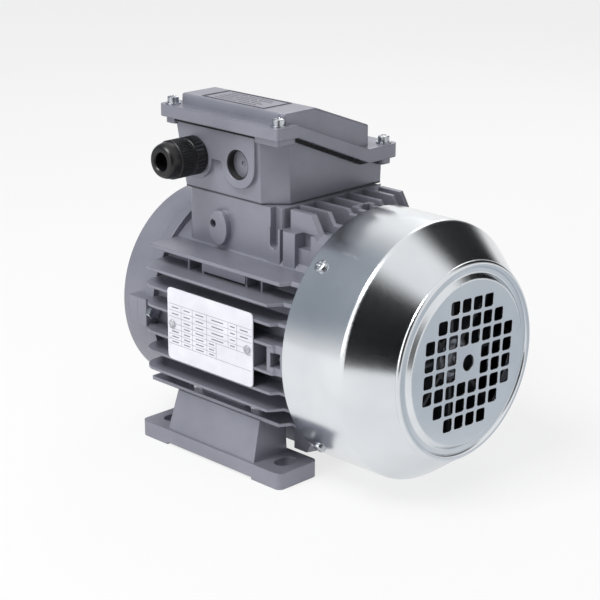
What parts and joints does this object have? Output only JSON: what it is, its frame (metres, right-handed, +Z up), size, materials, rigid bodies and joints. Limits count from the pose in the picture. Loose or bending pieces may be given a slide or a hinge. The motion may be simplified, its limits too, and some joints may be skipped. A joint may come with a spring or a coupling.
{
  "type": "three-phase electric motor",
  "caption": "Foot-mounted, fan-cooled three-phase motor with a finned frame, a terminal box on top, a cable gland and a shaft end with a keyway.",
  "frame": {"origin": "midway between the four foot slots, on the plane that the feet stand on", "axes": "-X along the shaft out of the drive end, +X towards the fan; -Y the side with the cable entries and the rating plate; +Z up"},
  "size_m": [0.277, 0.1604, 0.2157],
  "materials": {
    "housing": "satin lacquered die casting",
    "cover_sheet": "satin silver painted sheet",
    "steel": "turned and ground steel",
    "zinc_fasteners": "zinc plated",
    "lamination": "stacked electrical sheet",
    "copper_winding": "varnished winding",
    "cast_aluminium": "as cast",
    "fan_plastic": "moulded",
    "gasket_rubber": "moulded",
    "black_plastic": "moulded",
    "board_resin": "moulded",
    "brass_terminals": "turned",
    "lead_insulation": "extruded",
    "rating_plate": "satin"
  },
  "bodies": {
    "motor": {"stator_frame": "housing", "drive_shield": "housing", "fan_shield": "housing", "foot_near": "housing", "foot_far": "housing", "foot_bolts": "zinc_fasteners", "drive_shield_bolts": "zinc_fasteners", "fan_shield_bolts": "zinc_fasteners", "stator_core": "lamination", "winding": "copper_winding", "motor_leads": "lead_insulation", "drive_bearing_outer": "steel", "fan_bearing_outer": "steel", "preload_washer": "steel", "shaft_seal": "gasket_rubber", "fan_cover": "cover_sheet", "fan_cover_screws": "zinc_fasteners", "terminal_box": "housing", "box_gasket": "gasket_rubber", "box_screws": "zinc_fasteners", "lid_gasket": "gasket_rubber", "terminal_lid": "housing", "lid_washers": "zinc_fasteners", "lid_screws": "zinc_fasteners", "terminal_board": "board_resin", "terminal_studs": "brass_terminals", "terminal_links": "brass_terminals", "terminal_nuts": "brass_terminals", "board_screws": "zinc_fasteners", "earth_screw": "brass_terminals", "gland_body": "black_plastic", "gland_seal": "gasket_rubber", "gland_nut": "black_plastic", "gland_locknut": "black_plastic", "nameplate": "rating_plate", "nameplate_rivets": "zinc_fasteners"},
    "rotor": {"shaft": "steel", "rotor_core": "lamination", "rotor_cage": "cast_aluminium", "drive_bearing_inner": "steel", "fan_bearing_inner": "steel", "fan": "fan_plastic", "fan_clip": "steel"},
    "drive_balls": {"drive_bearing_balls": "steel", "drive_bearing_cage": "steel"},
    "fan_balls": {"fan_bearing_balls": "steel", "fan_bearing_cage": "steel"}
  },
  "joints": [
    {"name": "rotor_spin", "type": "hinge", "parent": "motor", "child": "rotor", "pos_m": [0, 0, 0.08], "axis": [1, 0, 0], "continuous": true},
    {"name": "drive_balls_spin", "type": "hinge", "parent": "motor", "child": "drive_balls", "pos_m": [-0.084, 0, 0.08], "axis": [1, 0, 0], "continuous": true},
    {"name": "fan_balls_spin", "type": "hinge", "parent": "motor", "child": "fan_balls", "pos_m": [0.083, 0, 0.08], "axis": [1, 0, 0], "continuous": true}
  ],
  "couplings": [
    {"joint": "drive_balls_spin", "follows": "rotor_spin", "ratio": 0.3815},
    {"joint": "fan_balls_spin", "follows": "rotor_spin", "ratio": 0.3815}
  ]
}
